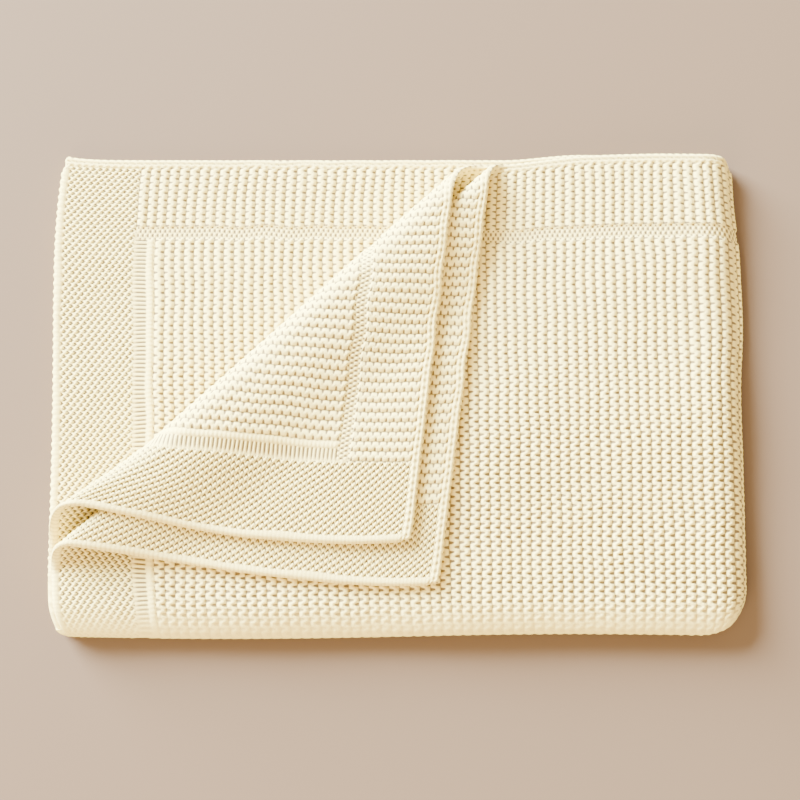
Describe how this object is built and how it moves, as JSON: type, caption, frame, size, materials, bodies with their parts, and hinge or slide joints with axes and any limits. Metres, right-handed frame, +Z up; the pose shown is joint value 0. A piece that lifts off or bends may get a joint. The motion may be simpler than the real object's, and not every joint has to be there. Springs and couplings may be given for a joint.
{
  "type": "folded throw blanket",
  "caption": "Cream knitted cotton throw folded in quarters with a corner of its upper layers turned back; the stack and the corner both unfold.",
  "frame": {"origin": "under the middle of the folded stack, on the surface it lies on", "axes": "+X along the long folded side towards the side fold, +Y from the front folds to the open back edges, +Z up"},
  "size_m": [0.5, 0.35, 0.0355],
  "materials": {
    "knit": "matte cream cotton knit"
  },
  "bodies": {
    "lower_half": {"bottom_layer": "knit", "bottom_layer_selvedge": "knit", "bottom_layer_chain_edge": "knit", "bottom_layer_side_fold": "knit", "second_layer": "knit", "second_layer_selvedge": "knit", "second_layer_chain_edge": "knit", "second_layer_side_fold": "knit", "lower_front_fold": "knit", "lower_corner_fold": "knit"},
    "upper_half": {"third_layer": "knit", "third_layer_selvedge": "knit", "third_layer_chain_edge": "knit", "third_layer_side_fold": "knit", "top_layer": "knit", "top_layer_selvedge": "knit", "top_layer_chain_edge": "knit", "top_layer_side_fold": "knit", "upper_front_fold": "knit", "upper_corner_fold": "knit", "top_layer_roll": "knit"},
    "top_corner": {"top_flap_roll": "knit", "top_flap": "knit", "top_flap_chain_edge": "knit", "top_flap_selvedge": "knit"},
    "under_roll": {"third_layer_roll": "knit"},
    "under_corner": {"under_flap": "knit", "under_flap_chain_edge": "knit", "under_flap_selvedge": "knit"}
  },
  "joints": [
    {"name": "side_fold_opening", "type": "hinge", "parent": "lower_half", "child": "upper_half", "pos_m": [0.25, 0, 0.01175], "axis": [0, 1, 0], "range_deg": [0, 175]},
    {"name": "corner_turning", "type": "hinge", "parent": "upper_half", "child": "top_corner", "pos_m": [-0.08425, 0.029, 0.02375], "axis": [-0.736, -0.6769, 0], "range_deg": [0, 178]},
    {"name": "under_roll_tipping", "type": "hinge", "parent": "upper_half", "child": "under_roll", "pos_m": [-0.09853, 0.0357, 0.012], "axis": [-0.736, -0.6769, 0], "range_deg": [0, 89]},
    {"name": "under_corner_turning", "type": "hinge", "parent": "under_roll", "child": "under_corner", "pos_m": [-0.09853, 0.0357, 0.0355], "axis": [-0.736, -0.6769, 0], "range_deg": [0, 89]}
  ],
  "couplings": [
    {"joint": "under_roll_tipping", "follows": "corner_turning", "ratio": 0.5},
    {"joint": "under_corner_turning", "follows": "corner_turning", "ratio": 0.5}
  ]
}
